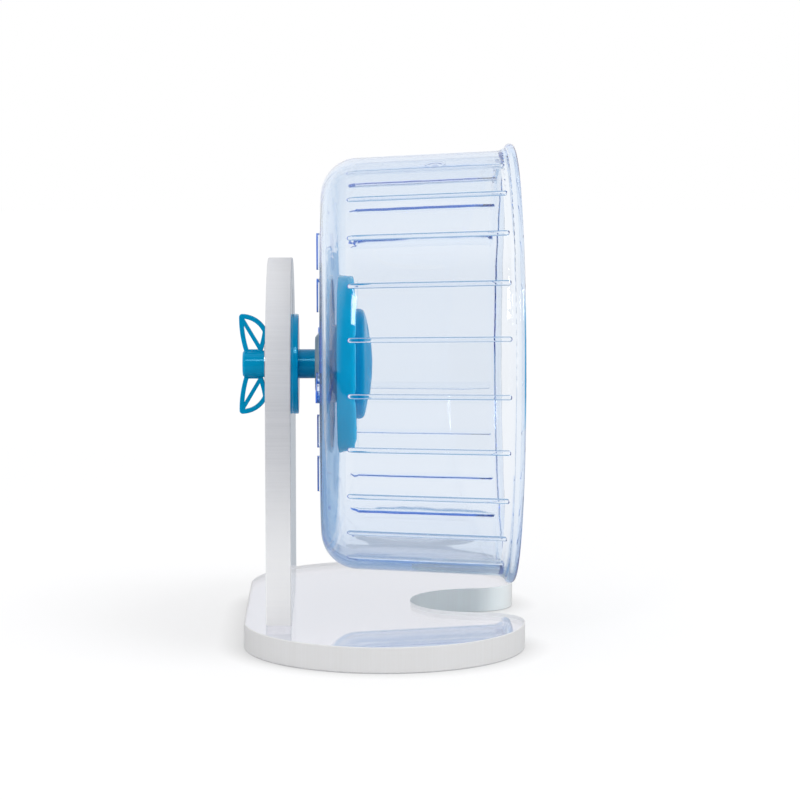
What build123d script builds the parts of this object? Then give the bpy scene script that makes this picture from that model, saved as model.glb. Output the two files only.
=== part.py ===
from build123d import *
import os
from math import atan, degrees

# Hamster wheel: a clear drum that turns on two ball bearings, carried by a clear acrylic stand.
# +X runs along the axle towards the open side, +Z is up, and the origin is the middle of the
# base plate's underside. All sizes are in millimetres.

# Clearances shared by the pieces
overrun = 1.0
press_gap = 0.02
running_gap = 0.05
loose_gap = 0.3

# Stand: two sheets of acrylic, screwed together from below
plate_thickness = 10.0
plate_edge_chamfer = 0.3
base_width = 112.0
base_depth = 200.0
notch_radius = 27.2
notch_inset = 17.4
upright_width = 110.0
upright_inset = 9.1

# Height slot in the upright; at the slot's lower end the rim just clears the base plate
rim_clearance = 3.5
travel_down = 5.0
travel_up = 27.0
slot_cover = 16.5

# Stand screws
screw_spacing = 70.0
stand_screw_radius = 2.0
stand_screw_length = 20.0
stand_screw_head_radius = 4.0
stand_screw_head_recess = 0.2

# Axle
stud_radius = 4.0
stud_length = 18.5
flange_radius = 20.5
flange_thickness = 2.4
flange_edge_round = 0.5
shaft_radius = 6.0
shaft_length = 7.0

# Wing nut and its washer
nut_washer_radius = 7.5
nut_washer_thickness = 1.6
barrel_radius = 5.5
barrel_length = 9.0
barrel_end_wall = 1.8
barrel_end_round = 1.2
wing_reach = 20.5
wing_tip_overhang = 1.6
wing_foot_overhang = 1.2
wing_thickness = 2.4
wing_strand = 1.9
midrib_width = 1.6
wing_edge_round = 0.45
wing_tip_round = 1.3
wing_shoulder_round = 3.0

# Ball bearings, two alike
bearing_bore_radius = 4.0
bearing_radius = 9.5
bearing_width = 6.0
bearing_gap = 5.2
ball_radius = 1.5
ball_count = 7
race_depth = 0.46
shield_thickness = 0.3
shield_recess = 0.25
shield_seat_depth = 0.5
cage_wall = 0.5
cage_height = 1.1
ring_edge_round = 0.3
race_gap = 0.06

# Bearing housing, with the chamfered collar behind the drum
collar_length = 2.4
collar_face_radius = 10.9
collar_radius = 13.5
collar_lip = 0.3
housing_wall = 2.0
shoulder_height = 1.1

# Screw and washer that hold the bearings on the axle
end_washer_radius = 6.5
end_washer_thickness = 1.0
axle_screw_radius = 2.0
axle_screw_length = 8.0
axle_screw_head_radius = 3.75
axle_screw_head_height = 2.2
axle_screw_socket_radius = 1.5
axle_screw_socket_depth = 1.2
journal_setback = 0.2

# Hub disc, a ribbed cup clamped to the drum's back wall
hub_radius = 36.9
hub_boss_radius = 16.0
hub_boss_length = 2.5
hub_depth = 9.4
hub_wall = 1.8
hub_taper = 1.2
hub_front_round = 3.0
hub_back_round = 0.6
hub_sleeve_wall = 2.0
hub_rib_count = 8
hub_rib_width = 1.6

# Ring nut on the housing
ring_nut_radius = 15.0
ring_nut_thickness = 2.5
ring_nut_notch_count = 6
ring_nut_notch_width = 3.0
ring_nut_notch_depth = 1.2

# Hub cap, a dome that snaps over a spigot on the hub disc
cap_radius = 22.6
cap_height = 6.9
cap_wall = 1.5
cap_skirt = 1.6
cap_shoulder = 1.7
cap_crown = 3.1
spigot_wall = 1.5
spigot_height = 1.4

# Drum, a little wider at its mouth than at its back, with a lip that stands out from it
drum_mouth_radius = 87.1
drum_taper = 3.7
rim_overhang = 2.9
drum_length = 78.8
drum_wall = 2.2
drum_corner_radius = 15.6
lip_round = 1.9
lip_neck_round = 1.1
lip_flare_length = 4.2
lip_root_round = 4.0
rib_count = 24
rib_phase = 3.3
rib_width = 1.9
rib_height = 1.3
rib_edge_round = 0.6
rib_start = 11.0
rib_end_margin = 4.8

# Raised bars on the outside of the drum's back wall, four pairs
bar_pair_count = 4
bar_phase = 9.0
bar_spans = ((21.7, 35.7), (39.4, 54.6))
bar_width = 5.0
bar_height = 1.7

# Places along the axle, from the upright outwards
upright_back = upright_inset - base_width / 2
upright_front = upright_back + plate_thickness
flange_front = upright_front + flange_thickness
bearing_a_start = flange_front + shaft_length
bearing_a_end = bearing_a_start + bearing_width
bearing_b_start = bearing_a_end + bearing_gap
bearing_b_end = bearing_b_start + bearing_width
collar_face = bearing_a_start - collar_lip
drum_back = collar_face + collar_length
drum_inside = drum_back + drum_wall
hub_back = drum_inside + hub_boss_length
hub_front = hub_back + hub_depth
journal_end = bearing_b_end - journal_setback
nut_face = upright_back - nut_washer_thickness
barrel_end = nut_face - barrel_length
drum_front = drum_back + drum_length
wall_end = drum_front - lip_flare_length - lip_round / 2
rib_length = drum_length - rib_end_margin - rib_start

# Radii of the drum, and heights over the floor
rim_radius = drum_mouth_radius + rim_overhang
drum_back_radius = drum_mouth_radius - drum_taper
drum_slope = drum_taper / (wall_end - drum_back)
axle_height = plate_thickness + rim_clearance + travel_down + rim_radius
slot_radius = stud_radius + loose_gap
slot_low = axle_height - travel_down
slot_high = axle_height + travel_up
slot_middle = (slot_low + slot_high) / 2
upright_top = slot_high + slot_cover
housing_radius = bearing_radius + housing_wall
housing_end = hub_front + ring_nut_thickness
ball_pitch_radius = (bearing_bore_radius + bearing_radius) / 2


def turned(section):
    """Turn a flat section, drawn as distance along the axle and radius, round the axle."""
    return Pos(0, 0, axle_height) * revolve(Plane.XZ * section, Axis.X)


def outline(*corners):
    """A flat face with straight sides through the corners."""
    return make_face(Polyline(*corners, close=True))


def tube(start, end, inner_radius, outer_radius):
    """A plain ring round the axle."""
    return turned(outline((start, inner_radius), (end, inner_radius), (end, outer_radius), (start, outer_radius)))


def rod(start, end, radius):
    """A plain rod on the axle's line."""
    return turned(outline((start, 0), (end, 0), (end, radius), (start, radius)))


def round_the_axle(piece, count, phase=0.0):
    """Copies of a piece made on the axle's line at height zero, spaced evenly round it."""
    return [Pos(0, 0, axle_height) * Rot(X=phase + 360 * turn / count) * piece for turn in range(count)]


def vertices_at(sketch, x, y):
    """The sketch's corner nearest a place."""
    return [sketch.vertices().sort_by_distance((x, y, 0))[0]]


def screw_places():
    """The stand screws stand in a row under the upright."""
    middle = (upright_back + upright_front) / 2
    return [(middle, -screw_spacing / 2), (middle, screw_spacing / 2)]


def base_plate():
    """A plate with two round ends and a round bite in the side under the drum's mouth."""
    straight = base_depth - base_width
    plan = Rectangle(base_width, straight)
    plan += Pos(0, straight / 2) * Circle(base_width / 2)
    plan += Pos(0, -straight / 2) * Circle(base_width / 2)
    bite_middle = base_width / 2 - notch_inset
    mouth = Pos(bite_middle + notch_inset / 2, 0) * Rectangle(notch_inset, 2 * (notch_radius + notch_inset))
    for side in (-1, 1):
        mouth -= Pos(bite_middle, side * (notch_radius + notch_inset)) * Circle(notch_inset)
    plan -= Pos(bite_middle, 0) * Circle(notch_radius)
    plan -= mouth
    plate = extrude(plan, plate_thickness)
    plate = chamfer(plate.edges().filter_by(Plane.XY), plate_edge_chamfer)
    for x, y in screw_places():
        hole = Cylinder(stand_screw_radius + running_gap, plate_thickness + 2 * overrun)
        sink = Pos(x, y, 0) * countersunk_head(stand_screw_head_radius + running_gap)
        plate -= Pos(x, y, plate_thickness / 2) * hole
        plate -= sink
        plate -= Pos(x, y, stand_screw_head_recess / 2) * Cylinder(
            stand_screw_head_radius + running_gap, stand_screw_head_recess)
    return plate


def countersunk_head(radius):
    """A 90 degree screw head, its flat end a little above the plate's underside."""
    height = radius - stand_screw_radius
    cone = Cone(radius, stand_screw_radius, height, align=(Align.CENTER, Align.CENTER, Align.MIN))
    return Pos(0, 0, stand_screw_head_recess) * cone


def stand_screws():
    """Two countersunk screws that hold the upright from below."""
    screws = []
    for x, y in screw_places():
        shank = Cylinder(stand_screw_radius, stand_screw_length, align=(Align.CENTER, Align.CENTER, Align.MIN))
        socket = Cylinder(stand_screw_radius / 2, stand_screw_radius, align=(Align.CENTER, Align.CENTER, Align.MIN))
        screw = countersunk_head(stand_screw_head_radius) + Pos(0, 0, stand_screw_head_recess) * shank
        screw -= Pos(0, 0, stand_screw_head_recess) * socket
        screws.append(Pos(x, y, 0) * screw)
    return Compound(children=screws)


def upright_plate():
    """A plate with a half-round top and a slot in which the axle is raised and lowered."""
    arch_middle = upright_top - upright_width / 2
    face = Pos(0, (plate_thickness + arch_middle) / 2) * Rectangle(upright_width, arch_middle - plate_thickness)
    face += Pos(0, arch_middle) * Circle(upright_width / 2)
    face -= Pos(0, slot_middle) * Rot(Z=90) * SlotCenterToCenter(slot_high - slot_low, 2 * slot_radius)
    plate = extrude(Plane.YZ.offset(upright_back) * face, plate_thickness)
    outer_edges = plate.edges().filter_by(Plane.YZ)
    plate = chamfer(outer_edges, plate_edge_chamfer)
    hole_depth = stand_screw_length + stand_screw_head_recess + overrun - plate_thickness
    for x, y in screw_places():
        hole = Cylinder(stand_screw_radius + running_gap, hole_depth, align=(Align.CENTER, Align.CENTER, Align.MIN))
        plate -= Pos(x, y, plate_thickness) * hole
    return plate


def axle():
    """Stud, flange, shaft and bearing journal, moulded as one piece."""
    stud_end = upright_front - stud_length
    body = outline(
        (stud_end, 0),
        (stud_end, stud_radius),
        (upright_front, stud_radius),
        (upright_front, flange_radius),
        (flange_front, flange_radius),
        (flange_front, shaft_radius),
        (bearing_a_start, shaft_radius),
        (bearing_a_start, bearing_bore_radius),
        (journal_end, bearing_bore_radius),
        (journal_end, 0),
    )
    rim = vertices_at(body, upright_front, flange_radius) + vertices_at(body, flange_front, flange_radius)
    body = fillet(rim, flange_edge_round)
    body = chamfer(vertices_at(body, stud_end, stud_radius), flange_edge_round)
    return turned(body) - rod(journal_end - axle_screw_length, journal_end + overrun, axle_screw_radius + press_gap)


def nut_washer():
    """Plain washer between the wing nut and the upright."""
    return tube(nut_face, upright_back, stud_radius + running_gap, nut_washer_radius)


# Leaf outline of a wing, as shares of its length along the axle, from the tip, and of its reach
leaf_tip_share = (0.02, 1.0)
leaf_brow_share = (0.60, 0.925)
leaf_shoulder_share = (1.0, 0.66)
leaf_heel_share = (0.90, 0.385)
leaf_foot_share = (0.79, 0.20)
leaf_root_share = (0.22, 0.20)
leaf_waist_share = (0.07, 0.55)
midrib_tip_share = (0.13, 0.90)
midrib_foot_share = (0.80, 0.25)


def leaf_place(share):
    """A place on a wing from its shares."""
    tip = barrel_end - wing_tip_overhang
    length = nut_face + wing_foot_overhang - tip
    return tip + share[0] * length, share[1] * wing_reach


def leaf_face():
    """Outline of one wing, a leaf that leans away from the upright, with sharp corners."""
    tip, brow, shoulder = map(leaf_place, (leaf_tip_share, leaf_brow_share, leaf_shoulder_share))
    heel, foot = map(leaf_place, (leaf_heel_share, leaf_foot_share))
    root, waist = map(leaf_place, (leaf_root_share, leaf_waist_share))
    return make_face([
        ThreePointArc(tip, brow, shoulder),
        ThreePointArc(shoulder, heel, foot),
        Line(foot, root),
        ThreePointArc(root, waist, tip),
    ])


def rounded_leaf():
    """The leaf with its tip and shoulder rounded."""
    leaf = fillet(vertices_at(leaf_face(), *leaf_place(leaf_tip_share)), wing_tip_round)
    return fillet(vertices_at(leaf, *leaf_place(leaf_shoulder_share)), wing_shoulder_round)


def leaf_windows():
    """The two openings of a wing, one on each side of its midrib."""
    start = Vector(*leaf_place(midrib_tip_share))
    run = Vector(*leaf_place(midrib_foot_share)) - start
    middle = start + run / 2
    midrib = Pos(middle.X, middle.Y) * Rot(Z=degrees(atan(run.Y / run.X))) * Rectangle(2 * run.length, midrib_width)
    return offset(leaf_face(), -wing_strand) - midrib


def wing_nut():
    """Barrel with a blind bore and two open leaf wings."""
    barrel = outline((barrel_end, 0), (barrel_end, barrel_radius), (nut_face, barrel_radius), (nut_face, 0))
    barrel = fillet(vertices_at(barrel, barrel_end, barrel_radius), barrel_end_round)
    wing = extrude(Plane.XZ * rounded_leaf(), wing_thickness / 2, both=True)
    wing = fillet(wing.edges().filter_by(Plane.XZ), wing_edge_round)
    wing -= extrude(Plane.XZ * leaf_windows(), wing_thickness, both=True)
    wings = [Pos(0, 0, axle_height) * Rot(X=turn) * wing for turn in (0, 180)]
    bore = rod(barrel_end + barrel_end_wall, nut_face + overrun, stud_radius + running_gap)
    return turned(barrel) + wings - bore


def bearing_housing():
    """Stepped sleeve with the chamfered collar, which holds both bearings."""
    bore = bearing_radius
    body = outline(
        (collar_face, bore),
        (collar_face, collar_face_radius),
        (drum_back - collar_lip, collar_radius),
        (drum_back, collar_radius),
        (drum_back, housing_radius),
        (housing_end, housing_radius),
        (housing_end, bore),
        (bearing_b_start, bore),
        (bearing_b_start, bore - shoulder_height),
        (bearing_a_end, bore - shoulder_height),
        (bearing_a_end, bore),
    )
    return turned(body)


def bearing_pieces(start):
    """Outer ring, inner ring, balls, cage and shields of one bearing that starts at a place."""
    end = start + bearing_width
    middle = start + bearing_width / 2
    groove_radius = ball_radius + race_gap
    outer_land = ball_pitch_radius + groove_radius - race_depth
    inner_land = ball_pitch_radius - groove_radius + race_depth
    groove = Pos(middle, ball_pitch_radius) * Circle(groove_radius)
    shield_seat = outer_land + shield_seat_depth

    outer = outline(
        (start, shield_seat),
        (start, bearing_radius - press_gap),
        (end, bearing_radius - press_gap),
        (end, shield_seat),
        (end - shield_recess - shield_thickness, shield_seat),
        (end - shield_recess - shield_thickness, outer_land),
        (start + shield_recess + shield_thickness, outer_land),
        (start + shield_recess + shield_thickness, shield_seat),
    )
    outer_corners = vertices_at(outer, start, bearing_radius) + vertices_at(outer, end, bearing_radius)
    outer_ring = turned(chamfer(outer_corners, ring_edge_round) - groove)

    bore = bearing_bore_radius + press_gap
    inner = outline((start, bore), (end, bore), (end, inner_land), (start, inner_land))
    inner_corners = vertices_at(inner, start, bore) + vertices_at(inner, end, bore)
    inner_ring = turned(chamfer(inner_corners, ring_edge_round) - groove)

    ball = Pos(middle, ball_pitch_radius, 0) * Sphere(ball_radius)
    balls = Compound(children=round_the_axle(ball, ball_count))

    pocket = Pos(middle, ball_pitch_radius, 0) * Rot(X=90) * Cylinder(ball_radius + race_gap, 2 * cage_height)
    cage_half = ball_radius + race_gap + cage_wall
    cage_low = ball_pitch_radius - cage_height / 2
    cage = tube(middle - cage_half, middle + cage_half, cage_low, cage_low + cage_height)
    for hole in round_the_axle(pocket, ball_count):
        cage -= hole

    hole_radius = inner_land + shield_recess
    near = start + shield_recess
    far = end - shield_recess - shield_thickness
    shields = Compound(children=[
        tube(near, near + shield_thickness, hole_radius, shield_seat - press_gap),
        tube(far, far + shield_thickness, hole_radius, shield_seat - press_gap),
    ])
    return {"outer_ring": outer_ring, "inner_ring": inner_ring, "balls": balls, "cage": cage, "shields": shields}


def bearing_spacer():
    """Sleeve on the axle that keeps the two inner rings apart."""
    inner_land = ball_pitch_radius - ball_radius - race_gap + race_depth
    return tube(bearing_a_end, bearing_b_start, bearing_bore_radius + press_gap, inner_land)


def end_washer():
    """Washer that clamps the inner rings against the axle's shoulder."""
    return tube(bearing_b_end, bearing_b_end + end_washer_thickness, axle_screw_radius + running_gap, end_washer_radius)


def axle_screw():
    """Cap screw in the end of the axle."""
    seat = bearing_b_end + end_washer_thickness
    head_end = seat + axle_screw_head_height
    profile = outline(
        (journal_end - axle_screw_length + overrun, 0),
        (journal_end - axle_screw_length + overrun, axle_screw_radius),
        (seat, axle_screw_radius),
        (seat, axle_screw_head_radius),
        (head_end, axle_screw_head_radius),
        (head_end, 0),
    )
    profile = fillet(vertices_at(profile, head_end, axle_screw_head_radius), axle_screw_head_height / 3)
    socket = extrude(RegularPolygon(axle_screw_socket_radius, 6), axle_screw_socket_depth + overrun)
    socket = Pos(head_end - axle_screw_socket_depth, 0, axle_height) * Rot(Y=90) * socket
    return turned(profile) - socket


def hub_disc():
    """Cup that opens to the back, with a boss, radial ribs and a spigot for the cap."""
    bore = housing_radius + running_gap
    sleeve = bore + hub_sleeve_wall
    web_back = hub_front - hub_wall
    front_radius = hub_radius - hub_taper
    spigot_radius = cap_radius - cap_wall - running_gap
    cup = outline(
        (drum_inside, bore),
        (drum_inside, hub_boss_radius),
        (hub_back, hub_boss_radius),
        (hub_back, sleeve),
        (web_back, sleeve),
        (web_back, front_radius - hub_wall),
        (hub_back, hub_radius - hub_wall),
        (hub_back, hub_radius),
        (hub_front, front_radius),
        (hub_front, bore),
    )
    cup = fillet(vertices_at(cup, hub_front, front_radius), hub_front_round)
    cup = fillet(vertices_at(cup, hub_back, hub_radius), hub_back_round)
    cup = fillet(vertices_at(cup, web_back, front_radius - hub_wall), hub_front_round - hub_wall / 2)
    spigot = outline(
        (web_back, spigot_radius - spigot_wall),
        (hub_front + spigot_height, spigot_radius - spigot_wall),
        (hub_front + spigot_height, spigot_radius),
        (web_back, spigot_radius),
    )
    disc = turned(cup + spigot)
    rib_height_span = front_radius - hub_wall - hub_sleeve_wall / 2 - bore
    rib_middle = bore + hub_sleeve_wall / 2 + rib_height_span / 2 + hub_wall / 4
    rib_length = web_back - hub_back - hub_back_round
    rib = Box(rib_length, rib_height_span, hub_rib_width)
    rib = Pos(hub_back + hub_back_round + rib_length / 2, rib_middle, 0) * rib
    return disc + round_the_axle(rib, hub_rib_count)


def ring_nut():
    """Notched nut that clamps the hub disc and the drum against the collar."""
    ring = tube(hub_front, housing_end, housing_radius + running_gap, ring_nut_radius)
    notch = Box(2 * ring_nut_thickness + overrun, 2 * ring_nut_notch_depth, ring_nut_notch_width)
    for cut in round_the_axle(Pos((hub_front + housing_end) / 2, ring_nut_radius, 0) * notch, ring_nut_notch_count):
        ring -= cut
    return ring


def cap_face(radius, height, shoulder):
    """Half section of a shallow dome with a straight skirt, solid to the axle's line."""
    crown_edge = radius - shoulder
    crown_radius = (crown_edge ** 2 + cap_crown ** 2) / (2 * cap_crown)
    apex = hub_front + height
    crown_middle = apex - crown_radius + (crown_radius ** 2 - crown_edge ** 2 / 4) ** 0.5
    side = Line((hub_front, radius), (hub_front + cap_skirt, radius))
    brow = TangentArc([side @ 1, (apex - cap_crown, crown_edge)], tangent=side % 1)
    crown = ThreePointArc(brow @ 1, (crown_middle, crown_edge / 2), (apex, 0))
    closing = Line(crown @ 1, (hub_front, 0))
    foot = Line(closing @ 1, side @ 0)
    return make_face([side, brow, crown, closing, foot])


def hub_cap():
    """Domed cap that covers the ring nut and the axle's end."""
    outside = cap_face(cap_radius, cap_height, cap_shoulder)
    inside = cap_face(cap_radius - cap_wall, cap_height - cap_wall, cap_shoulder - cap_wall)
    return turned(outside) - turned(inside)


def drum_section():
    """Half section of the drum: back wall, round corner, tapered wall and rolled lip."""
    inner_back_radius = drum_back_radius - drum_wall + drum_slope * drum_wall
    bore = housing_radius + running_gap
    shell = outline(
        (drum_back, bore),
        (drum_back, drum_back_radius),
        (wall_end, drum_mouth_radius),
        (wall_end, drum_mouth_radius - drum_wall),
        (drum_inside, inner_back_radius),
        (drum_inside, bore),
    )
    shell = fillet(vertices_at(shell, drum_back, drum_back_radius), drum_corner_radius)
    shell = fillet(vertices_at(shell, drum_inside, inner_back_radius), drum_corner_radius - drum_wall)
    wall_tip = outline(
        (wall_end - lip_round / 2, drum_mouth_radius - drum_wall - drum_slope * lip_round / 2),
        (wall_end - lip_round / 2, drum_mouth_radius - drum_slope * lip_round / 2),
        (wall_end, drum_mouth_radius),
        (wall_end + lip_round / 2, drum_mouth_radius - drum_wall + drum_slope * lip_round / 2),
    )
    bead_middle = Pos(drum_front - lip_round, rim_radius - lip_round)
    neck = bead_middle * Circle(lip_neck_round)
    section = shell + make_hull(wall_tip.edges() + neck.edges()) + bead_middle * Circle(lip_round)
    flare_start = wall_end - lip_round / 2
    flare_inside = wall_end + lip_round / 2
    section = fillet(vertices_at(section, flare_start, drum_mouth_radius), lip_root_round)
    return fillet(vertices_at(section, flare_inside, drum_mouth_radius - drum_wall), lip_root_round)


def running_rib():
    """One grip rib on the inside of the wall, a low bar with round ends and rounded edges."""
    middle = drum_back + rib_start + rib_length / 2
    wall_inside = drum_back_radius - drum_wall + drum_slope * (middle - drum_back)
    low = wall_inside - rib_height
    plane = Plane(origin=(middle, low, 0), x_dir=(1, drum_slope, 0), z_dir=(-drum_slope, 1, 0))
    pad = plane * SlotOverall(rib_length, rib_width)
    rib = extrude(pad, rib_height + drum_wall / 2)
    return fillet(rib.faces().sort_by(Axis.Y)[0].edges(), rib_edge_round)


def back_bars():
    """Raised radial bars with round ends, in pairs, on the back wall."""
    bars = []
    for inner, outer in bar_spans:
        flat = SlotOverall(outer - inner, bar_width)
        plane = Plane(origin=(drum_back - bar_height, (inner + outer) / 2, 0), x_dir=(0, 1, 0), z_dir=(1, 0, 0))
        bar = extrude(plane * flat, bar_height + drum_wall / 2)
        bars += round_the_axle(bar, bar_pair_count, bar_phase)
    return bars


def wheel_drum():
    """The drum in which the animal runs, moulded in clear tinted plastic."""
    return turned(drum_section()) + round_the_axle(running_rib(), rib_count, rib_phase) + back_bars()


pieces = {
    "base_plate": base_plate(),
    "upright_plate": upright_plate(),
    "stand_screws": stand_screws(),
    "axle": axle(),
    "nut_washer": nut_washer(),
    "wing_nut": wing_nut(),
    "bearing_housing": bearing_housing(),
    "bearing_spacer": bearing_spacer(),
    "end_washer": end_washer(),
    "axle_screw": axle_screw(),
    "hub_disc": hub_disc(),
    "ring_nut": ring_nut(),
    "hub_cap": hub_cap(),
    "wheel_drum": wheel_drum(),
}
for letter, start in (("a", bearing_a_start), ("b", bearing_b_start)):
    for name, piece in bearing_pieces(start).items():
        pieces[f"bearing_{letter}_{name}"] = piece

os.makedirs("parts", exist_ok=True)
for name, piece in pieces.items():
    export_step(piece, f"parts/{name}.step")
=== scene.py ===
from math import radians

import bpy
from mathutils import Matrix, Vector


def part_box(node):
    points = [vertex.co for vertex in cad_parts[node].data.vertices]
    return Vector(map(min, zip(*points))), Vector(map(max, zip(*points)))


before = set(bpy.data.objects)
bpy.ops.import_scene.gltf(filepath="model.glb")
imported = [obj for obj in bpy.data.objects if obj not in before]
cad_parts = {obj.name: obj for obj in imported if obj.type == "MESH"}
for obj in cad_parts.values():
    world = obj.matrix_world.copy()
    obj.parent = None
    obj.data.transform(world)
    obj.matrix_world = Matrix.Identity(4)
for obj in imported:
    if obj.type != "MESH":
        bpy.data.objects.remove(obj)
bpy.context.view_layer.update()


# The studio: a pale floor that runs into a white surround, and a camera with a long lens, low in
# front of the wheel. Soft lamps stand at the side, in front and above, and two very small ones give
# the teal its highlights. Mirrored in plastic, the front of the room is dark, as in a real studio.
class Wire:
    """An output of a shader node, or the start of a tree. Sums and products add Math nodes."""

    def __init__(self, tree, socket=None):
        self.tree = tree
        self.socket = socket

    def node(self, kind, settings=None, sockets=None, output=None):
        """Adds a node: its settings go in first, then its sockets' values or links."""
        made = self.tree.nodes.new("ShaderNode" + kind)
        for name, value in (settings or {}).items():
            setattr(made, name, value)
        for name, value in (sockets or {}).items():
            if isinstance(name, int):
                socket = made.inputs[name]
            else:
                socket = next(held for held in made.inputs if held.name == name and held.enabled)
            if isinstance(value, Wire):
                self.tree.links.new(value.socket, socket)
            else:
                socket.default_value = value
        outputs = [held for held in made.outputs if held.enabled and output in (None, held.name)]
        return Wire(self.tree, outputs[0]) if outputs else None

    def take(self, name):
        """Another output of the same node."""
        return Wire(self.tree, self.socket.node.outputs[name])

    def math(self, operation, *values):
        return self.node("Math", {"operation": operation}, dict(enumerate(values)))

    def __add__(self, other):
        return self.math("ADD", self, other)

    def __sub__(self, other):
        return self.math("SUBTRACT", self, other)

    def __rsub__(self, other):
        return self.math("SUBTRACT", other, self)

    def __mul__(self, other):
        return self.math("MULTIPLY", self, other)

    def __truediv__(self, other):
        return self.math("DIVIDE", self, other)

    def __mod__(self, other):
        return self.math("FLOORED_MODULO", self, other)

    def __lt__(self, other):
        return self.math("LESS_THAN", self, other)

    def __gt__(self, other):
        return self.math("GREATER_THAN", self, other)

    def __abs__(self):
        return self.math("ABSOLUTE", self)

    __radd__ = __add__
    __rmul__ = __mul__

    def fade(self, low, high):
        """From 0 at low to 1 at high, smoothly."""
        return self.node(
            "MapRange",
            {"interpolation_type": "SMOOTHSTEP"},
            {"Value": self, "From Min": low, "From Max": high},
        )

    def grain(self, place, scale, detail=3.0):
        """Noise from 0 to 1 at a place."""
        return self.node("TexNoise", {}, {"Vector": place, "Scale": scale, "Detail": detail})

    def blend(self, share, first, second):
        """A colour between two."""
        return self.node(
            "Mix", {"data_type": "RGBA"}, {"Factor": share, "A": first, "B": second}
        )


def shade(red, green, blue):
    """A colour as it is seen on a screen, from 0 to 255, as light, by the standard screen curve."""
    screen = [part / 255 for part in (red, green, blue)]
    light = [
        part / 12.92 if part < 0.04045 else ((part + 0.055) / 1.055) ** 2.4 for part in screen
    ]
    return (*light, 1)


def start_finish(name):
    """A new material and its empty tree. A finish that glows isn't sampled as a lamp."""
    material = bpy.data.materials.new(name)
    material.use_nodes = True
    material.cycles.emission_sampling = "NONE"
    material.node_tree.nodes.clear()
    return material, Wire(material.node_tree)


def white_to_the_eye(tree):
    """1 for what the camera sees straight or in gloss or glass, 0 for the light on matt things."""
    path = tree.node("LightPath", output="Is Camera Ray")
    seen = path + path.take("Is Glossy Ray") + path.take("Is Transmission Ray")
    return tree.math("MINIMUM", seen, 1)


black = (0, 0, 0, 1)
white = (1, 1, 1, 1)
dark_side = (0.02, 0.085, 0.16, 1)
deep_side = (0.30, 0.50, 0.70, 1)
deep_crossings = 2.5
deep_mirrorings = 1.5


def dark_room(tree):
    """Whether a ray was mirrored, whether it is deep in glass, and the room's side that it sees."""
    mirrorings = tree.node("LightPath", output="Glossy Depth")
    crossings = mirrorings.take("Transmission Depth")
    deep = tree.math("MAXIMUM", crossings > deep_crossings, mirrorings > deep_mirrorings)
    return tree.math("MINIMUM", mirrorings, 1), deep, tree.blend(deep, dark_side, deep_side)


dark_front_edge = (-0.6, -0.15)
bright_ceiling_edge = (0.8, 0.98)

surround = bpy.data.worlds.new("surround")
surround.use_nodes = True
surround.node_tree.nodes.clear()
bpy.context.scene.world = surround
air = Wire(surround.node_tree)
towards = air.node("SeparateXYZ", {}, {0: air.node("TexCoord", output="Generated")})
back_and_sides = towards.take("Y").fade(*dark_front_edge)
ceiling = towards.take("Z").fade(*bright_ceiling_edge)
mirrored, _, dark = dark_room(air)
dark_share = (1 - air.math("MAXIMUM", back_and_sides, ceiling)) * mirrored * white_to_the_eye(air)
sky = air.node("Background", {}, {"Color": air.blend(dark_share, white, dark)})
air.node("OutputWorld", {}, {"Surface": sky})

floor_width = 8
floor_gap = 0.0002
lit_pale = (0.84, 0.84, 0.84, 1)
lit_paler = (0.87, 0.87, 0.87, 1)
shown_paint = (0.33, 0.33, 0.335, 1)
shown_glow_near = (0.60, 0.60, 0.60, 1)
shown_glow_far = (0.68, 0.68, 0.68, 1)
glow_rises = (0.3, 1.6)
painted_shadow_reach = 0.012
painted_shadow_darkness = 0.65
table_edge = (-0.47, -0.40)
table_share = 0.5

floor_paint, tree = start_finish("floor_paint")
spot = tree.node("TexCoord", output="Object")
lit = tree.node("BsdfPrincipled", {}, {
    "Base Color": tree.blend(tree.grain(spot, 40.0), lit_pale, lit_paler),
    "Roughness": 1.0, "Specular IOR Level": 0.0})
away = tree.node("VectorMath", {"operation": "LENGTH"}, {0: spot}, "Value").fade(*glow_rises)
straight = tree.node("LightPath", output="Is Camera Ray")
# Painted contact shadow: where things stand close by, ambient occlusion darkens the floor's glow,
# for the camera's own rays only.
painted_shadow = 1 - tree.node("AmbientOcclusion", {"samples": 8}, {"Distance": painted_shadow_reach}, "AO")
glow = tree.blend(away, shown_glow_near, shown_glow_far)
shown = tree.node("BsdfPrincipled", {}, {
    "Base Color": shown_paint, "Roughness": 1.0, "Specular IOR Level": 0.0,
    "Emission Color": tree.blend(painted_shadow * straight * painted_shadow_darkness, glow, black),
    "Emission Strength": 1.0})
mirrored, deep, dark = dark_room(tree)
table = tree.node("SeparateXYZ", {}, {0: spot}, output="Y").fade(*table_edge)
dim_share = mirrored * (1 - table * (1 - deep) * table_share)
dim = tree.node("Emission", {}, {"Color": dark})
to_the_eye = tree.node("MixShader", {}, {0: dim_share, 1: shown, 2: dim})
either = tree.node("MixShader", {}, {0: white_to_the_eye(tree), 1: lit, 2: to_the_eye})
tree.node("OutputMaterial", {}, {"Surface": either})

bpy.ops.mesh.primitive_plane_add(size=floor_width, location=(0, 0, -floor_gap))
floor = bpy.context.object
floor.name = "floor"
floor.data.materials.append(floor_paint)

wheel_middle = (0, 0, 0.1)


def lamp(name, place, width, height, power, lights=None):
    """A soft lamp that shines towards the wheel, on everything or only on some objects."""
    light = bpy.data.lights.new(name, "AREA")
    light.shape = "RECTANGLE"
    light.size = width
    light.size_y = height
    light.energy = power
    stand = bpy.data.objects.new(name, light)
    stand.location = place
    aim = Vector(wheel_middle) - Vector(place)
    stand.rotation_euler = aim.to_track_quat("-Z", "Y").to_euler()
    bpy.context.scene.collection.objects.link(stand)
    if lights:
        stand.light_linking.receiver_collection = bpy.data.collections.new(name)
        for piece in lights:
            stand.light_linking.receiver_collection.objects.link(piece)


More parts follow.
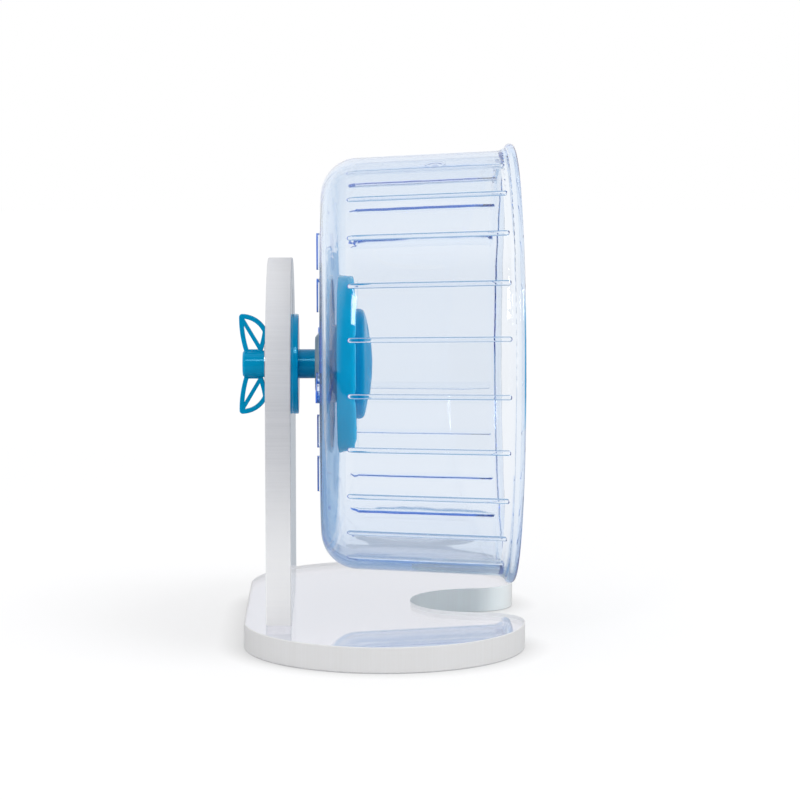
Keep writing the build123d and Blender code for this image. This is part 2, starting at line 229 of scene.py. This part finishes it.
all_but_drum = [piece for name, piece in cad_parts.items() if name != "wheel_drum"]
glossy_teal = [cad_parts["axle"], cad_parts["wing_nut"]]
lamp("side_lamp", place=(-0.5, -1.2, 0.95), width=0.22, height=0.42, power=2.9)
lamp("front_lamp", place=(-0.06, -1.2, 1.0), width=0.16, height=0.36, power=2.2,
     lights=all_but_drum)
for side, glint_x in (("left", -0.115), ("right", -0.051)):
    lamp("glint_" + side, place=(glint_x, -1.2, 1.0), width=0.02, height=0.02, power=0.09,
         lights=glossy_teal)
lamp("top_lamp", place=(0.7, -0.3, 1.5), width=0.6, height=0.6, power=8,
     lights=[floor] + all_but_drum)

camera_lens = 127.65
camera_place = (-0.01421, -1.15833, 0.22041)
camera_looks_down = 6.254
camera_turns_right = 1.048
light_bounces = 32

scene = bpy.context.scene
camera = bpy.data.objects.new("camera", bpy.data.cameras.new("camera"))
camera.data.lens = camera_lens
camera.location = camera_place
camera.rotation_euler = (radians(90 - camera_looks_down), 0, radians(-camera_turns_right))
scene.collection.objects.link(camera)
scene.camera = camera
scene.view_settings.view_transform = "Standard"
scene.cycles.max_bounces = light_bounces
scene.cycles.transmission_bounces = light_bounces
scene.cycles.glossy_bounces = light_bounces


# The base plate: clear cast acrylic, milled to its outline, so its faces are glossy and its edges
# satin with the cutter's fine upright marks. It lies on the floor and carries everything.
acrylic_ior = 1.49
acrylic_clear = (0.885, 0.88, 0.935, 1)
acrylic_volume = (0.55, 0.62, 0.80, 1)
acrylic_density = 1.6
flat_faces = (0.85, 0.95)
foot_faces_down = -0.9
mark_stretch = 60
mark_fineness = 1500.0
mark_coarseness = 260.0
mark_depth = 0.00006
mark_tone = shade(226, 226, 229)
mark_strength = 0.22
low_light_ends = (0.02, 0.09)
high_light_begins = (0.1, 0.15)
high_light_share = 0.3
bite_sides = (0.028, 0.045)
bite_begins = (0.0, 0.015)
bite_painted_light_tone = shade(239, 248, 250)
edge_roughness = 0.55
edge_clearness = 0.2
painted_inner_glow = (0.2, 0.2, 0.205, 1)
painted_foot_glow = (0.42, 0.42, 0.43, 1)


def dress(node, material):
    """Gives a CAD node its finish."""
    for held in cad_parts[node].material_slots:
        held.material = material


def acrylic_sheet(name, flat_axis, dull, pale):
    """Clear acrylic with milled edges; its flat faces look along an axis.

    The edges carry painted light: they take the pale tone instead of the dull one near the floor
    and, in part, towards the top. The base plate's bite is painted a pale bluish tone, as painted
    light and reflection from the drum above it. A painted glow stands in for light carried through
    the sheet where the edges are seen from inside it, and on the upright's foot, which lies on the
    base plate.
    """
    material, tree = start_finish(name)
    place = tree.node("TexCoord", output="Object")
    position = tree.node("SeparateXYZ", {}, {0: place})
    normal = tree.node("SeparateXYZ", {}, {0: place.take("Normal")})
    milled = 1 - abs(normal.take(flat_axis)).fade(*flat_faces)
    foot = normal.take("Z") < foot_faces_down
    inside = tree.node("NewGeometry", output="Backfacing")

    squeeze = {"X": (1 / mark_stretch, 1, 1), "Z": (1, 1, 1 / mark_stretch)}[flat_axis]
    marks = tree.node("Mapping", {}, {"Vector": place, "Scale": squeeze})
    fine = tree.grain(marks, mark_fineness, 2.0)
    lines = fine * 0.6 + tree.grain(marks, mark_coarseness, 2.0) * 0.4

    height = position.take("Z")
    # Painted light: the edges take the pale tone near the floor and, in part, towards the top.
    high_light = height.fade(*high_light_begins) * high_light_share
    painted_light_share = tree.math("MAXIMUM", 1 - height.fade(*low_light_ends), high_light)
    # Painted light: the bite is painted a pale bluish tone, with a painted reflection of the drum
    # above it.
    between_sides = 1 - abs(position.take("Y")).fade(*bite_sides)
    bite = between_sides * position.take("X").fade(*bite_begins)
    tone = tree.blend(bite, tree.blend(painted_light_share, dull, pale), bite_painted_light_tone)

    clear = tree.node("BsdfPrincipled", {}, {
        "Base Color": acrylic_clear,
        "Roughness": tree.grain(place, 25.0).fade(0.3, 0.8) * 0.02 + 0.005,
        "IOR": acrylic_ior, "Transmission Weight": 1.0})
    # The satin edges have a painted glow where they are seen from inside and on the upright's foot,
    # standing in for light carried through the acrylic.
    satin = tree.node("BsdfPrincipled", {}, {
        "Base Color": tree.blend(lines.fade(0.3, 0.7) * mark_strength, tone, mark_tone),
        "Roughness": edge_roughness, "IOR": acrylic_ior, "Transmission Weight": edge_clearness,
        "Emission Color": tree.blend(inside, tree.blend(foot, black, painted_foot_glow), painted_inner_glow),
        "Emission Strength": 1.0,
        "Normal": tree.node("Bump", {}, {
            "Height": lines, "Distance": mark_depth, "Strength": 0.25})})
    tree.node("OutputMaterial", {}, {
        "Surface": tree.node("MixShader", {}, {0: milled, 1: clear, 2: satin}),
        "Volume": tree.node("VolumeAbsorption", {}, {
            "Color": acrylic_volume, "Density": acrylic_density})})
    return material


base_edge = shade(212, 211, 210)
dress("base_plate", acrylic_sheet("base_acrylic", "Z", base_edge, base_edge))


# The upright: a second sheet of the same acrylic on its edge, glossy on the two broad faces and
# milled round its arch and in the height slot.
upright_edge = shade(191, 192, 196)
# The upright's edges are painted paler near the foot and towards the top: painted light.
upright_edge_painted_lit = shade(238, 238, 238)
dress("upright_plate", acrylic_sheet("upright_acrylic", "X", upright_edge, upright_edge_painted_lit))


# The stand screws: zinc plated countersunk screws, driven from below through the base plate into
# the upright.
screw_pitch = 0.0007
screw_thread_depth = 0.0003
turning_mark_depth = 0.00002
stain_darkness = 0.8


def turned_steel(name, tone, roughness, pitch=0.0):
    """Bright steel with fine turning marks, and a thread along Z where there is a pitch."""
    material, tree = start_finish(name)
    place = tree.node("TexCoord", output="Object")
    stains = tree.grain(place, 180.0)
    stained = [part * stain_darkness for part in tone[:3]] + [1]
    height = tree.grain(place, 2200.0, 2.0) * 0.15
    depth = turning_mark_depth
    if pitch:
        along = tree.node("SeparateXYZ", {}, {0: place}, output="Z")
        height = height + abs((along / pitch) % 1.0 - 0.5) * 2
        depth = screw_thread_depth
    metal = tree.node("BsdfPrincipled", {}, {
        "Base Color": tree.blend(stains.fade(0.35, 0.75), tone, stained),
        "Metallic": 1.0, "Roughness": stains * 0.15 + roughness,
        "Normal": tree.node("Bump", {}, {"Height": height, "Distance": depth})})
    tree.node("OutputMaterial", {}, {"Surface": metal})
    return material


dress("stand_screws", turned_steel("screw_zinc", shade(200, 204, 208), 0.22, screw_pitch))


# The axle: stud, flange and shaft moulded in one from teal plastic. Its stud passes through the
# height slot and its flange bears on the upright.
moulded_ior = 1.5
teal_gloss = (0.3, 0.8, 1, 1)
teal_gloss_level = 0.25
teal_ripple_depth = 0.00001
teal_painted_glow = (0, 0.24, 0.34, 1)
stud_pitch = 0.00125
stud_thread_depth = 0.0006
stud_thread_end = -0.0372


def teal_moulding(name, dark, light, roughness, thread_end=None):
    """Glossy moulded plastic, a little uneven in colour, with a faint ripple.

    It has a thread along X up to thread_end, if that is given. Where it is seen from inside, as it
    is where a clear piece lies on it, it has a painted glow that stands in for the light coming
    through it.
    """
    material, tree = start_finish(name)
    place = tree.node("TexCoord", output="Object")
    ripple = tree.grain(place, 700.0, 2.0)
    height = ripple * teal_ripple_depth
    if thread_end is not None:
        along = tree.node("SeparateXYZ", {}, {0: place}, output="X")
        thread = abs((along / stud_pitch) % 1.0 - 0.5) * (along < thread_end)
        height = height + thread * stud_thread_depth
    # Painted glow on faces seen from inside, for light coming through a clear piece lying on them.
    inside = tree.node("NewGeometry", output="Backfacing")
    plastic = tree.node("BsdfPrincipled", {}, {
        "Base Color": tree.blend(tree.grain(place, 90.0).fade(0.35, 0.7), dark, light),
        "Roughness": ripple.fade(0.3, 0.8) * 0.04 + roughness,
        "IOR": moulded_ior, "Specular IOR Level": teal_gloss_level, "Specular Tint": teal_gloss,
        "Emission Color": tree.blend(inside, black, teal_painted_glow), "Emission Strength": 1.0,
        "Normal": tree.node("Bump", {}, {"Height": height, "Distance": 1.0})})
    tree.node("OutputMaterial", {}, {"Surface": plastic})
    return material


# The axle's teal is painted lighter than the nut's, though both are the same plastic: painted light
# for the shade it sits in between the upright and the drum.
dress("axle", teal_moulding(
    "axle_teal_painted_lighter", shade(0, 168, 222), shade(2, 174, 228), 0.09, stud_thread_end))


# The wing nut and its washer: the nut is moulded in the same teal, with two open leaf wings, and
# clamps the axle's flange to the upright through a steel washer.
dress("wing_nut", teal_moulding("nut_teal", shade(0, 138, 182), shade(4, 146, 192), 0.09))
dress("nut_washer", turned_steel("washer_steel", shade(196, 198, 202), 0.25))


# The bearings: two small shielded ball bearings of ground steel with nylon cages, a spacer
# between their inner rings, and a washer and cap screw in the axle's end that hold them.
ring_steel = turned_steel("ring_steel", shade(205, 206, 208), 0.14)
shield_steel = turned_steel("shield_steel", shade(190, 192, 195), 0.3)
ball_steel = turned_steel("ball_steel", shade(215, 216, 218), 0.05)

cage_nylon, tree = start_finish("cage_nylon")
place = tree.node("TexCoord", output="Object")
fibres = tree.grain(place, 1500.0)
tree.node("OutputMaterial", {}, {"Surface": tree.node("BsdfPrincipled", {}, {
    "Base Color": tree.blend(
        tree.grain(place, 400.0), shade(214, 208, 188), shade(230, 226, 210)),
    "Roughness": 0.5,
    "Normal": tree.node("Bump", {}, {"Height": fibres, "Distance": 0.00002})})})

bearing_finishes = {
    "outer_ring": ring_steel, "inner_ring": ring_steel, "balls": ball_steel,
    "cage": cage_nylon, "shields": shield_steel}
for letter in "ab":
    for part, material in bearing_finishes.items():
        dress(f"bearing_{letter}_{part}", material)
dress("bearing_spacer", ring_steel)
dress("end_washer", turned_steel("end_washer_zinc", shade(200, 203, 208), 0.2))
dress("axle_screw", turned_steel("cap_screw_zinc", shade(186, 188, 192), 0.26))


# The bearing housing and its ring nut: turned grey plastic. The chamfered collar stands behind
# the drum, and the nut clamps hub and drum against it.
ring_squeeze = (30, 1, 1)

housing_grey, tree = start_finish("housing_grey")
place = tree.node("TexCoord", output="Object")
across = tree.node("Mapping", {}, {"Vector": place, "Scale": ring_squeeze})
rings = tree.grain(across, 120.0, 2.0)
tree.node("OutputMaterial", {}, {"Surface": tree.node("BsdfPrincipled", {}, {
    "Base Color": tree.blend(rings.fade(0.3, 0.7), shade(190, 210, 214), shade(200, 220, 224)),
    "Roughness": rings * 0.1 + 0.28, "IOR": moulded_ior,
    "Normal": tree.node("Bump", {}, {"Height": rings, "Distance": 0.00003})})})
dress("bearing_housing", housing_grey)
dress("ring_nut", housing_grey)


# The hub: a ribbed disc and a domed cap that snaps over it, both moulded in a lighter teal. They
# sit inside the drum against its back wall.
dress("hub_disc", teal_moulding("hub_teal", shade(0, 192, 245), shade(0, 198, 250), 0.13))
dress("hub_cap", teal_moulding("cap_teal", shade(0, 158, 212), shade(0, 164, 218), 0.13))


# The drum: clear light blue plastic, moulded in one with its rolled lip, the grip ribs inside its
# wall and the raised bars outside its back, whose tops are solid blue. The mould's gate has left a
# small ring on the wall, and long ways through the plastic look deep blue. Its back corner and its
# lip are painted a deeper blue as well: painted shade for the light's long way through the plastic.
bar_height = 0.0017
bar_blue_depth = 0.0006
drum_low, drum_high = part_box("wheel_drum")
drum_back = drum_low.x + bar_height
axle_height = (drum_low.z + drum_high.z) / 2
wall_begins = (drum_back + 0.010, drum_back + 0.018)
wall_ends = (0.040, 0.047)
corner_ends = (drum_back + 0.002, drum_back + 0.008)
corner_begins = (0.066, 0.078)
painted_corner_share = 0.45
lip_begins = (0.0495, 0.0525)
painted_lip_share = 0.25
gate_place = (0.0205, -0.0240, axle_height + 0.0837)
gate_inner = (0.0034, 0.0039)
gate_outer = (0.0042, 0.0047)
flow_depth = 0.000015
gate_depth = 1.6
thin_clear = (0.985, 0.982, 0.98, 1)
painted_deep_clear = (0.885, 0.94, 0.975, 1)
drum_volume = (0.0, 0.45, 0.97, 1)
drum_density = 36.0

drum_blue, tree = start_finish("drum_blue")
place = tree.node("TexCoord", output="Object")
along = tree.node("SeparateXYZ", {}, {0: place}, output="X")
from_axle = tree.node("VectorMath", {"operation": "SUBTRACT"}, {0: place, 1: (0, 0, axle_height)})
across = tree.node("VectorMath", {"operation": "MULTIPLY"}, {0: from_axle, 1: (0, 1, 1)})
radius = tree.node("VectorMath", {"operation": "LENGTH"}, {0: across}, "Value")

ripple = tree.grain(place, 90.0, 1.0)
wall = along.fade(*wall_begins) * (1 - along.fade(*wall_ends))
from_gate = tree.node("VectorMath", {"operation": "DISTANCE"}, {0: place, 1: gate_place}, "Value")
gate_ring = from_gate.fade(*gate_inner) * (1 - from_gate.fade(*gate_outer))
flow = tree.node("Bump", {}, {
    "Height": ripple * wall + gate_ring * gate_depth, "Distance": flow_depth})

# Painted shade: the back corner and the lip are tinted a deeper blue.
corner = (1 - along.fade(*corner_ends)) * radius.fade(*corner_begins) * painted_corner_share
painted_deep_share = tree.math("MAXIMUM", corner, along.fade(*lip_begins) * painted_lip_share)
clear = tree.node("BsdfPrincipled", {}, {
    "Base Color": tree.blend(painted_deep_share, thin_clear, painted_deep_clear),
    "Roughness": ripple * 0.02 + 0.01, "IOR": moulded_ior, "Transmission Weight": 1.0,
    "Normal": flow})
bar_tops = along < drum_low.x + bar_blue_depth
bars = tree.node("BsdfPrincipled", {}, {
    "Base Color": tree.blend(ripple.fade(0.3, 0.7), shade(70, 130, 245), shade(96, 152, 250)),
    "Roughness": 0.2, "IOR": moulded_ior, "Normal": flow})
tree.node("OutputMaterial", {}, {
    "Surface": tree.node("MixShader", {}, {0: bar_tops, 1: clear, 2: bars}),
    "Volume": tree.node("VolumeAbsorption", {}, {"Color": drum_volume, "Density": drum_density})})
dress("wheel_drum", drum_blue)
